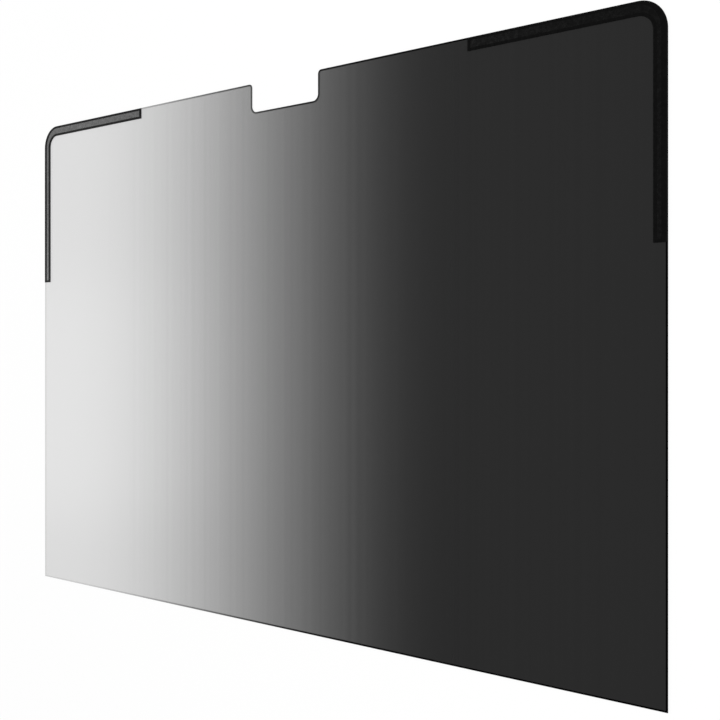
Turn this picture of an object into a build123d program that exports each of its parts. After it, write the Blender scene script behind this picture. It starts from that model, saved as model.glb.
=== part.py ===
"""Laptop privacy filter: a thin louvred film with a camera notch and two black corner strips.

The filter lies on its back. The origin is the middle of the rest face, +X runs along the width,
+Y points to the notched top edge and +Z is the face that carries the strips.
"""
from build123d import *
from math import isclose
import os

# Film
sheet_width = 308.5
sheet_height = 204.0
sheet_thickness = 0.4
corner_radius = 9.3  # upper corners only, the lower ones are cut square
edge_break = 0.12  # small bevel that the cutting leaves round both faces

# Camera notch in the middle of the top edge
notch_width = 34.6
notch_depth = 10.9
notch_floor_radius = 2.4  # hollow corners beside the floor
notch_mouth_radius = 1.5  # rounded shoulders at the top edge

# Corner strips
strip_arm = 70.2  # from the film's outline to the square-cut end, the same along both edges
strip_width = 4.3
strip_thickness = 0.25
strip_edge_break = 0.08  # bevel round the strip's upper face
strip_margin = 0.04  # flat film left between its bevel and the strip

# Where things lie
half_width = sheet_width / 2
half_notch = notch_width / 2
top_edge = sheet_height / 2
notch_floor = top_edge - notch_depth
strip_set_back = edge_break + strip_margin


def round_upright_pair(solid, from_middle, height, radius):
    """Round the two upright edges that stand at one height, the same distance left and right."""

    def in_pair(edge):
        place = edge.center()
        return isclose(abs(place.X), from_middle) and isclose(place.Y, height)

    return fillet(solid.edges().filter_by(Axis.Z).filter_by(in_pair), radius)


def make_filter_sheet():
    """The film: a rectangle notched at the top, rounded at its corners and bevelled round both faces."""
    notch = Pos(0, top_edge) * Rectangle(notch_width, 2 * notch_depth)
    film = extrude(Rectangle(sheet_width, sheet_height) - notch, sheet_thickness)
    film = round_upright_pair(film, half_width, top_edge, corner_radius)
    film = round_upright_pair(film, half_notch, notch_floor, notch_floor_radius)
    film = round_upright_pair(film, half_notch, top_edge, notch_mouth_radius)
    rims = film.faces().filter_by(Axis.Z).edges()
    return chamfer(rims, edge_break)


def corner_block(set_back, reach):
    """A square plate in the upper left corner, set back from the film's outline and rounded along with it."""
    side = reach - set_back
    corner = Pos(-half_width + set_back, top_edge - set_back, sheet_thickness)
    plate = corner * extrude(Rectangle(side, side, align=(Align.MIN, Align.MAX)), strip_thickness)
    rounding = corner_radius - set_back
    if rounding <= 0:
        return plate
    outer_edge = plate.edges().filter_by(Axis.Z).group_by(Axis.Y)[-1].sort_by(Axis.X)[0]
    return fillet(outer_edge, rounding)


def make_left_strip():
    """An L of even width round the upper left corner, seated on the film's upper face."""
    inside = corner_block(strip_set_back + strip_width, strip_arm + strip_width)
    strip = corner_block(strip_set_back, strip_arm) - inside
    upper_rim = strip.faces().sort_by(Axis.Z)[-1].edges()
    return chamfer(upper_rim, strip_edge_break)


left_corner_strip = make_left_strip()
nodes = {
    "filter_sheet": make_filter_sheet(),
    "left_corner_strip": left_corner_strip,
    "right_corner_strip": mirror(left_corner_strip, Plane.YZ),
}

os.makedirs("parts", exist_ok=True)
for name, solid in nodes.items():
    export_step(solid, f"parts/{name}.step")
    size = solid.bounding_box().size
    print(f"{name}: {solid.volume:.1f} mm3, {size.X:.2f} x {size.Y:.2f} x {size.Z:.2f} mm")
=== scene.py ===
# %% [markdown]
# # A laptop privacy filter
#
# The object is a thin sheet of privacy film, cut to cover a laptop display. Its upper corners are
# round, its lower corners are square, and a notch in the top edge leaves the camera free. Two black
# L-shaped strips are bonded along the upper corners. The film looks clear on its left and turns dark
# towards its right, which is what a film of fine upright louvres does when it is seen from one side.
#
# The construction model comes first. It is the fixed frame: every piece below goes where it says.

# %% Load the frame
import math

import bmesh
import bpy
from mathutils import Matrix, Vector


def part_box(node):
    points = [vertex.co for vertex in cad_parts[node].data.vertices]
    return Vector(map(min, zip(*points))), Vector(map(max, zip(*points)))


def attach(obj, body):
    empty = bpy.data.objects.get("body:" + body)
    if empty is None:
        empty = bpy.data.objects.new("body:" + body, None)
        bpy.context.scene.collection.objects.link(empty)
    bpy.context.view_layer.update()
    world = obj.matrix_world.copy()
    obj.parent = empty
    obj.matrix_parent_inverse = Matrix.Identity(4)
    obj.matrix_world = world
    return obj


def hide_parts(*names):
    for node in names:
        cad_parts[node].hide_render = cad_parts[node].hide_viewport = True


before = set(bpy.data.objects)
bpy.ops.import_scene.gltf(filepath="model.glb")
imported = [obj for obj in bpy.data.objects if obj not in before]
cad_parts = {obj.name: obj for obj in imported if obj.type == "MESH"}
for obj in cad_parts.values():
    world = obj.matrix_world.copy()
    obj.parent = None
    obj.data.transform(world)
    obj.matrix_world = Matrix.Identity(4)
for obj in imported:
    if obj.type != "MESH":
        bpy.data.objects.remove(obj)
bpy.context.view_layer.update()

# %% [markdown]
# ## Reading the sizes
#
# The film's width, height and thickness can be read from its own node, and so can the strips' arms
# and thickness. What a box can't tell, such as a corner's radius, is written here once, in metres.
# A millimetre is a handy unit for a sheet this thin, so it gets a name.

# %% Sizes
MM = 0.001

film_low, film_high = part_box("filter_sheet")
strip_low, strip_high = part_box("left_corner_strip")
half_width = film_high.x
half_height = film_high.y
film_back = film_low.z
film_face = film_high.z

corner_radius = 9.3 * MM
notch_width = 34.6 * MM
notch_depth = 10.9 * MM
notch_floor_radius = 2.4 * MM
notch_mouth_radius = 1.5 * MM
film_edge_round = 0.12 * MM

strip_width = 4.3 * MM
strip_set_back = strip_low.x - film_low.x
strip_edge_round = 0.08 * MM
print("film", round(2 * half_width / MM, 2), "by", round(2 * half_height / MM, 2), "mm, strip set back",
      round(strip_set_back / MM, 3), "mm")

# %% [markdown]
# ## From an outline to a plate
#
# The film and the strips are all flat plates with a shaped outline, so they share a few steps. An
# outline starts as a handful of corner points and one face. It could be drawn with every point of every
# arc, but a vertex bevel makes an arc from the corner alone: with a profile of 0.5 and a right angle,
# the offset is the arc's radius. Pulling the face up then gives the thickness.

# %% From an outline to a plate
CORNER_SEGMENTS = 24
NOTCH_SEGMENTS = 10


def face_from_corners(mesh, corners, height):
    """One flat face with these corners, given as (x, y) pairs in order."""
    points = [mesh.verts.new((x, y, height)) for x, y in corners]
    mesh.faces.new(points)
    return points


def round_corners(mesh, points, radius, segments):
    """Turn right-angled corners of a flat face into arcs."""
    bmesh.ops.bevel(mesh, geom=points, offset=radius, offset_type="OFFSET", segments=segments,
                    profile=0.5, affect="VERTICES", material=-1, clamp_overlap=True)


def thicken(mesh, height):
    """Pull the one flat face up to a height and leave a closed plate."""
    pulled = bmesh.ops.extrude_face_region(mesh, geom=mesh.faces[:])
    raised = [part for part in pulled["geom"] if isinstance(part, bmesh.types.BMVert)]
    for point in raised:
        point.co.z = height
    bmesh.ops.recalc_face_normals(mesh, faces=mesh.faces[:])


half_step = math.pi / 4 / CORNER_SEGMENTS
corner_error = corner_radius * (1 - math.cos(half_step))
print("a large corner lies within", round(corner_error / MM, 4), "mm of a true arc")

# %% [markdown]
# ## Rims and cut edges
#
# No real plate has a knife edge, so an edge bevel rounds the rim of each flat side.
#
# A sheared sheet shows a dark line all round. An inset on each flat side leaves a margin of faces for
# it, which takes the second finish of the piece, the cut edge. An inset is equally wide everywhere. To
# make the line wider along the side edges, which run along y, than along the level ones, the plate is
# squeezed along x before the inset and stretched back after it. A lean then moves the inner part
# sideways, so that the line is wider on one side than on the other.

# %% Rims and cut edges
RIM_SEGMENTS = 3
FLAT_ENOUGH = 0.999  # how far a flat side's normal points up or down
FACE_FINISH = 0
CUT_FINISH = 1


def flat_sides(mesh, facing):
    """The faces that look straight up (facing 1), straight down (-1) or either way (0)."""
    flat = [face for face in mesh.faces if abs(face.normal.z) > FLAT_ENOUGH]
    return [face for face in flat if facing == 0 or face.normal.z * facing > 0]


def round_rims(mesh, faces, radius):
    """Round the edges where the given flat faces meet the walls of the plate."""
    rims = [edge for face in faces for edge in face.edges]
    bmesh.ops.bevel(mesh, geom=rims, offset=radius, offset_type="OFFSET", segments=RIM_SEGMENTS,
                    profile=0.5, affect="EDGES", material=-1, clamp_overlap=True)


def mark_cut_edge(mesh, faces, level_margin, side_margin, lean=0.0):
    """Inset each flat side, and give the cut-edge finish to all that lies outside the insets.

    Level edges run along x and side edges along y. A lean moves the insets along x.
    """
    stretch = side_margin / level_margin
    bmesh.ops.scale(mesh, verts=mesh.verts[:], vec=(1 / stretch, 1.0, 1.0))
    for face in faces:
        bmesh.ops.inset_region(mesh, faces=[face], thickness=level_margin, use_even_offset=True)
    bmesh.ops.scale(mesh, verts=mesh.verts[:], vec=(stretch, 1.0, 1.0))
    for face in faces:
        bmesh.ops.translate(mesh, verts=face.verts[:], vec=(lean, 0.0, 0.0))
    for face in mesh.faces:
        face.material_index = FACE_FINISH if face in faces else CUT_FINISH


print("a rim is rounded in", RIM_SEGMENTS, "steps, and finish", CUT_FINISH, "of a piece is its cut edge")

# %% [markdown]
# ## Handing a piece to the frame
#
# A finished mesh becomes an object at the origin, with its place in its points, as the frame has it.
# Faces are shaded smooth, and edges that turn by more than a set angle stay sharp. A Weighted Normal
# modifier holds the shading of the flat sides flat right up to the rounded rim. The object then stands
# for its node, whose own mesh is hidden, and rides on the one body.

# %% Handing a piece to the frame
SHARP_ANGLE = math.radians(40)


def finish_piece(mesh, name, node):
    """Make the mesh an object that stands for a node of the frame and rides on the one body."""
    bmesh.ops.recalc_face_normals(mesh, faces=mesh.faces[:])
    for face in mesh.faces:
        face.smooth = True
    for edge in mesh.edges:
        edge.smooth = len(edge.link_faces) == 2 and edge.calc_face_angle() < SHARP_ANGLE
    data = bpy.data.meshes.new(name)
    mesh.to_mesh(data)
    mesh.free()
    piece = bpy.data.objects.new(name, data)
    bpy.context.scene.collection.objects.link(piece)
    flat_to_rim = piece.modifiers.new("flat_to_rim", "WEIGHTED_NORMAL")
    flat_to_rim.keep_sharp = True
    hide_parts(node)
    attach(piece, "root")
    print(name, "has", len(data.vertices), "points and", len(data.polygons), "faces")
    return piece


print("edges that turn by", round(math.degrees(SHARP_ANGLE)), "degrees or more stay sharp")

# %% [markdown]
# ## The film
#
# The film is die-cut from a laminated sheet. It could be a rectangle with the notch cut by a boolean,
# but eight corner points give the same outline with cleaner edges: going round them in order draws the
# rectangle and steps down into the notch and up again. Three bevels then give the three radii.

# %% The film
half_notch = notch_width / 2
notch_floor = half_height - notch_depth
film_margin = 0.5 * MM


def make_film():
    """The notched sheet, rounded round both faces."""
    mesh = bmesh.new()
    outline = [
        (-half_width, -half_height),
        (half_width, -half_height),
        (half_width, half_height),
        (half_notch, half_height),
        (half_notch, notch_floor),
        (-half_notch, notch_floor),
        (-half_notch, half_height),
        (-half_width, half_height),
    ]
    points = face_from_corners(mesh, outline, film_back)
    upper_right, mouth_right, floor_right, floor_left, mouth_left, upper_left = points[2:]
    round_corners(mesh, [upper_left, upper_right], corner_radius, CORNER_SEGMENTS)
    round_corners(mesh, [floor_left, floor_right], notch_floor_radius, NOTCH_SEGMENTS)
    round_corners(mesh, [mouth_left, mouth_right], notch_mouth_radius, NOTCH_SEGMENTS)
    thicken(mesh, film_face)
    round_rims(mesh, flat_sides(mesh, 0), film_edge_round)
    mark_cut_edge(mesh, flat_sides(mesh, 0), film_margin, film_margin)
    return finish_piece(mesh, "privacy_film", "filter_sheet")


film = make_film()

# %% [markdown]
# ## The corner strips
#
# Each strip is an L of even width that follows the film's upper corner. A curve with a flat profile
# could draw such a band, but an outline shares its steps with the film and keeps the ends square. The
# outer and inner corners share one centre, so the inner radius is the outer radius less the width. The
# right strip is the left one with its x turned round, and the normals are worked out again afterwards
# because that turns the face over. The dark line of the cut edge is widest along the strip's outer side.

# %% The corner strips
strip_outer_radius = corner_radius - strip_set_back
strip_inner_radius = strip_outer_radius - strip_width
strip_base = strip_low.z
strip_top = strip_high.z
strip_level_margin = 0.85 * MM
strip_side_margin = 1.43 * MM
strip_lean = 0.2 * MM


def make_strip(name, node, side):
    """The L-shaped strip on one side: -1 is left and 1 is right."""
    outer = -strip_low.x * side
    arm_end = -strip_high.x * side
    inner = outer - strip_width * side
    top = strip_high.y
    foot = strip_low.y
    mesh = bmesh.new()
    outline = [
        (outer, foot),
        (inner, foot),
        (inner, top - strip_width),
        (arm_end, top - strip_width),
        (arm_end, top),
        (outer, top),
    ]
    points = face_from_corners(mesh, outline, strip_base)
    outer_corner = points[5]
    inner_corner = points[2]
    round_corners(mesh, [outer_corner], strip_outer_radius, CORNER_SEGMENTS)
    round_corners(mesh, [inner_corner], strip_inner_radius, CORNER_SEGMENTS)
    thicken(mesh, strip_top)
    round_rims(mesh, flat_sides(mesh, 1), strip_edge_round)
    mark_cut_edge(mesh, flat_sides(mesh, 1), strip_level_margin, strip_side_margin, -strip_lean * side)
    return finish_piece(mesh, name, node)


strips = [
    make_strip("left_strip", "left_corner_strip", -1),
    make_strip("right_strip", "right_corner_strip", 1),
]

# %% [markdown]
# ## A helper for shader nodes
#
# A finish is a small tree of shader nodes, and so is the light of a room. To add a node, set its values
# and draw its links takes several lines each time. One helper does all three: it gives back a function
# that adds a node and takes, for each input, either a plain value or the output that feeds it.

# %% A helper for shader nodes
def node_adder(tree):
    """Empty a node tree, and give back a function that adds linked nodes to it."""
    tree.nodes.clear()

    def add(kind, values=None, **settings):
        """Add a node with its settings, and set or link its inputs."""
        node = tree.nodes.new(kind)
        for setting, value in settings.items():
            setattr(node, setting, value)
        for socket, value in (values or {}).items():
            if isinstance(value, bpy.types.NodeSocket):
                tree.links.new(value, node.inputs[socket])
            else:
                node.inputs[socket].default_value = value
        return node

    return add


def new_finish(name):
    """A material with an empty node tree, and the function that adds nodes to it."""
    finish = bpy.data.materials.new(name)
    finish.use_nodes = True
    return finish, node_adder(finish.node_tree)


def grey(level):
    """An opaque grey."""
    return (level, level, level, 1.0)


def spread(add, value, low, high):
    """Map a value that runs from 0 to 1 to the range from low to high."""
    return add("ShaderNodeMapRange", {"Value": value, "To Min": low, "To Max": high}).outputs["Result"]


def varied_tint(add, value, tint, share):
    """A grey that a value from 0 to 1 takes a share darker or lighter."""
    return spread(add, value, tint * (1 - share), tint * (1 + share))


print("plain white is", grey(1.0))

# %% [markdown]
# ## What the film lets through
#
# Privacy film is clear plastic with thousands of dark upright louvres inside. Along the louvres light
# comes through, and across them it doesn't. So the film is nearly clear at its left edge, and at about
# four fifths of its width it has closed. True optics would follow the eye, and would be lost in an
# exported model. This finish gives each place its own alpha instead: a smoother-step along the width.
# A ray crosses two faces, front and back, so each face takes the square root of the share that gets
# through. Streaks, a noise from 0 to 1, sway the step to and fro.

# %% What the film lets through
closed_share = 0.79  # share of the width over which the film closes
closed_from_left = closed_share * 2 * half_width
streak_sway = 3.4 * MM


def louvre_alpha(add, along, streaks, clear_share, density):
    """How much one face covers: little on the left, all of it on the right."""
    sway = spread(add, streaks, -streak_sway, streak_sway)
    swayed = add("ShaderNodeMath", {0: along, 1: sway}, operation="ADD").outputs["Value"]
    wash = add("ShaderNodeMapRange", {
        "Value": swayed,
        "From Min": -half_width,
        "From Max": -half_width + closed_from_left,
        "To Min": 1.0,
        "To Max": 0.0,
    }, interpolation_type="SMOOTHERSTEP").outputs["Result"]
    openness = add("ShaderNodeMath", {0: wash, 1: density / 2}, operation="POWER").outputs["Value"]
    let_through = add("ShaderNodeMath", {0: openness, 1: math.sqrt(clear_share)},
                      operation="MULTIPLY").outputs["Value"]
    return add("ShaderNodeMath", {0: 1.0, 1: let_through}, operation="SUBTRACT",
               use_clamp=True).outputs["Value"]


print("film closes over", round(closed_from_left / MM, 1), "mm")

# %% [markdown]
# ## The film's finish
#
# Apart from what it lets through, the film is dark satin plastic. A noise that only reads x varies its
# tint and sways the step above, which leaves the faint upright streaks of the louvres. A wave texture
# would draw streaks too, but too evenly. A much finer noise is the anti-glare grain: it drives the
# roughness and a very low relief. The cut edge has the same finish in a denser, duller form.

# %% The film's finish
streaks_per_metre = 420.0
streak_detail = 2.0
streak_fine_share = 0.45  # how much the finer streaks count beside the broad ones
streak_tint_share = 0.06
glare_grain_per_metre = 2600.0
glare_grain_detail = 2.0
glare_relief = 0.02 * MM
glare_relief_strength = 0.05
film_roughness = (0.18, 0.26)


def film_finish(name, tint, clear_share, density, shine):
    """Dark satin plastic that is see-through on the left and closes towards the right.

    The clear share gets through at the left edge, and a denser finish closes sooner.
    """
    finish, add = new_finish(name)
    place = add("ShaderNodeTexCoord").outputs["Object"]
    along = add("ShaderNodeSeparateXYZ", {"Vector": place}).outputs["X"]
    streaks = add("ShaderNodeTexNoise", {
        "W": along,
        "Scale": streaks_per_metre,
        "Detail": streak_detail,
        "Roughness": streak_fine_share,
    }, noise_dimensions="1D").outputs["Fac"]
    grain = add("ShaderNodeTexNoise", {
        "Vector": place,
        "Scale": glare_grain_per_metre,
        "Detail": glare_grain_detail,
    }).outputs["Fac"]
    relief = add("ShaderNodeBump", {
        "Height": grain,
        "Strength": glare_relief_strength,
        "Distance": glare_relief,
    })
    plastic = add("ShaderNodeBsdfPrincipled", {
        "Base Color": varied_tint(add, streaks, tint, streak_tint_share),
        "Specular IOR Level": shine,
        "Roughness": spread(add, grain, *film_roughness),
        "Normal": relief.outputs["Normal"],
        "Alpha": louvre_alpha(add, along, streaks, clear_share, density),
    })
    add("ShaderNodeOutputMaterial", {"Surface": plastic.outputs["BSDF"]})
    return finish


film_face_finish = film_finish("louvre_film", tint=0.0211, clear_share=0.72, density=1.0, shine=0.4)
film_cut_edge = film_finish("film_cut_edge", tint=0.001, clear_share=0.64, density=2.4, shine=0.05)
film.data.materials.append(film_face_finish)
film.data.materials.append(film_cut_edge)
print(film.name, "has the finishes", [finish.name for finish in film.data.materials])

# %% [markdown]
# ## The strips' finish
#
# The strips are thin black flexible tape with a fine matt grain. One flat black would look like a hole
# in the picture, so a noise at the scale of the grain drives the tint, the roughness and a low relief.
# Where the lamp on the left glances off it, the black turns grey, as it does on the real strip. The cut
# edge is duller, and catches less of that light.

# %% The strips' finish
tape_grain_per_metre = 1000.0
tape_grain_detail = 3.0
tape_tint_share = 0.3
tape_relief = 0.06 * MM
tape_relief_strength = 0.3
tape_roughness = (0.10, 0.42)


def strip_finish(name, tint, shine):
    """Black tape with a fine grain."""
    finish, add = new_finish(name)
    place = add("ShaderNodeTexCoord").outputs["Object"]
    grain = add("ShaderNodeTexNoise", {
        "Vector": place,
        "Scale": tape_grain_per_metre,
        "Detail": tape_grain_detail,
    }).outputs["Fac"]
    relief = add("ShaderNodeBump", {
        "Height": grain,
        "Strength": tape_relief_strength,
        "Distance": tape_relief,
    })
    tape = add("ShaderNodeBsdfPrincipled", {
        "Base Color": varied_tint(add, grain, tint, tape_tint_share),
        "Specular IOR Level": shine,
        "Roughness": spread(add, grain, *tape_roughness),
        "Normal": relief.outputs["Normal"],
    })
    add("ShaderNodeOutputMaterial", {"Surface": tape.outputs["BSDF"]})
    return finish


black_tape = strip_finish("fixing_strip", tint=0.003, shine=0.5)
tape_cut_edge = strip_finish("strip_cut_edge", tint=0.005, shine=0.03)
for strip in strips:
    strip.data.materials.append(black_tape)
    strip.data.materials.append(tape_cut_edge)
    print(strip.name, "has the finishes", [finish.name for finish in strip.data.materials])

# %% [markdown]
# ## The floor
#
# The filter lies on a plain white floor. A curved backdrop could stand behind it, but the camera looks
# down and sees nothing but floor, so a plane will do. It lies a hair under the film, because two faces at
# one height would flicker.

# %% The floor
floor_half_size = 6.0
floor_gap = 0.1 * MM


def make_floor():
    """A wide plane just under the film."""
    mesh = bmesh.new()
    bmesh.ops.create_grid(mesh, x_segments=1, y_segments=1, size=floor_half_size)
    bmesh.ops.translate(mesh, verts=mesh.verts[:], vec=Vector((0, 0, film_back - floor_gap)))
    data = bpy.data.meshes.new("floor")
    mesh.to_mesh(data)
    mesh.free()
    floor = bpy.data.objects.new("floor", data)
    bpy.context.scene.collection.objects.link(floor)
    return floor


floor = make_floor()
print("floor lies", round(floor_gap / MM, 2), "mm under the film")

# %% [markdown]
# ## The floor's white
#
# Stronger lamps would whiten the floor, but bleach the object too. Instead the floor glows for rays that
# come from the camera, a reflection or through the film. The rest of its brightness is real diffuse
# light, which keeps the filter's thin shadow. To all other rays it is an ordinary pale floor.

# %% The floor's white
floor_glow = 0.86
floor_white = 0.8


def floor_finish():
    """White for the eye and for reflections, an ordinary pale floor for the light that bounces off it."""
    finish, add = new_finish("white_floor")
    path = add("ShaderNodeLightPath").outputs
    seen = add("ShaderNodeMath", {0: path["Is Camera Ray"], 1: path["Is Glossy Ray"]},
               operation="MAXIMUM").outputs["Value"]
    seen = add("ShaderNodeMath", {0: seen, 1: path["Is Transmission Ray"]},
               operation="MAXIMUM").outputs["Value"]
    shaded = add("ShaderNodeBsdfDiffuse", {"Color": grey(1 - floor_glow)}).outputs["BSDF"]
    glow = add("ShaderNodeEmission", {"Strength": floor_glow}).outputs["Emission"]
    bright = add("ShaderNodeAddShader", {0: shaded, 1: glow}).outputs["Shader"]
    plain = add("ShaderNodeBsdfDiffuse", {"Color": grey(floor_white)}).outputs["BSDF"]
    surface = add("ShaderNodeMixShader", {"Fac": seen, 1: plain, 2: bright}).outputs["Shader"]
    add("ShaderNodeOutputMaterial", {"Surface": surface})
    return finish


floor.data.materials.append(floor_finish())
print("floor shows", floor_glow, "of its white by itself and", round(1 - floor_glow, 2), "by the light on it")

# %% [markdown]
# ## The room
#
# The light is that of a plain studio. A picture of a room could give it, but two levels and a fade will
# do: the walls are white and the ceiling is dim, so the world fades from white near the horizon to grey
# overhead. The film mirrors what is above it, and a bright ceiling would turn its dark side grey.

# %% The room
wall_white = 0.89
ceiling_grey = 0.064
fade_start = math.radians(18)
fade_end = math.radians(34)


def light_room():
    """White walls and a dim ceiling."""
    world = bpy.data.worlds.new("studio")
    bpy.context.scene.world = world
    world.use_nodes = True
    add = node_adder(world.node_tree)
    direction = add("ShaderNodeTexCoord").outputs["Generated"]
    height = add("ShaderNodeSeparateXYZ", {"Vector": direction}).outputs["Z"]
    fade = add("ShaderNodeMapRange", {
        "Value": height,
        "From Min": math.sin(fade_start),
        "From Max": math.sin(fade_end),
        "To Min": wall_white,
        "To Max": ceiling_grey,
    }, interpolation_type="SMOOTHSTEP").outputs["Result"]
    sky = add("ShaderNodeBackground", {"Color": grey(1.0), "Strength": fade})
    add("ShaderNodeOutputWorld", {"Surface": sky.outputs["Background"]})


light_room()
print("walls fade from", wall_white, "to", ceiling_grey, "between", round(math.degrees(fade_start)), "and",
      round(math.degrees(fade_end)), "degrees up")

# %% [markdown]
# ## The lamps
#
# A broad lamp above the right side lights the floor and the film evenly. It stays out of reflections,
# because its mirror image would wash out the black strips for an eye straight above. A wide, low lamp
# stands on the left, at the height from which its reflection meets the eye: it turns the left strip grey
# and leaves the right one black. A small lamp before it gives the film a soft glow half way down its left
# side. A lamp's power grows with its area, so each is given the brightness of its face instead.

# %% The lamps
film_middle = (0.0, 0.0, 0.0)
film_left = (-0.15, 0.0, 0.0)


def add_softbox(name, place, aim, width, height, brightness, mirrored):
    """A rectangular lamp whose face has the given brightness, turned towards a point."""
    lamp = bpy.data.lights.new(name, "AREA")
    lamp.shape = "RECTANGLE"
    lamp.size = width
    lamp.size_y = height
    lamp.energy = brightness * math.pi * width * height
    softbox = bpy.data.objects.new(name, lamp)
    bpy.context.scene.collection.objects.link(softbox)
    softbox.visible_glossy = mirrored
    softbox.location = place
    softbox.rotation_mode = "QUATERNION"
    softbox.rotation_quaternion = (Vector(aim) - Vector(place)).to_track_quat("-Z", "Y")
    print(name, "gives", round(lamp.energy, 1), "W")


add_softbox("main_softbox", place=(0.75, 0.35, 1.55), aim=film_middle,
            width=1.0, height=1.0, brightness=8.3, mirrored=False)
add_softbox("left_softbox", place=(-1.115, 0.22, 0.714), aim=film_left,
            width=1.0, height=0.3, brightness=2.75, mirrored=True)
add_softbox("sheen_softbox", place=(-1.065, -0.06, 0.68), aim=film_left,
            width=0.32, height=0.26, brightness=3.5, mirrored=True)

# %% [markdown]
# ## The camera
#
# The camera looks down on the filter from the right with the notched edge at the top of the picture.
# It is turned about the y axis only, so the filter's two short edges stay upright and parallel. Its
# place, tilt and lens were fitted to the filter's edges in the picture, and a small shift puts the filter
# at the right height there.

# %% The camera
picture_size = 720
lens_mm = 59.45
camera_tilt = math.radians(41.548)
camera_from_face = Vector((312.66, 1.23, 310.39)) * MM
camera_place = camera_from_face + Vector((0, 0, film_face))
shift_in_pixels = -10.4

camera_data = bpy.data.cameras.new("camera")
camera_data.lens = lens_mm
camera_data.shift_y = shift_in_pixels / picture_size
camera = bpy.data.objects.new("camera", camera_data)
bpy.context.scene.collection.objects.link(camera)
camera.location = camera_place
camera.rotation_euler = (0.0, camera_tilt, 0.0)
bpy.context.scene.camera = camera
bpy.context.scene.view_settings.view_transform = "Standard"
print("camera stands", round(camera_place.length, 3), "m from the middle of the filter")
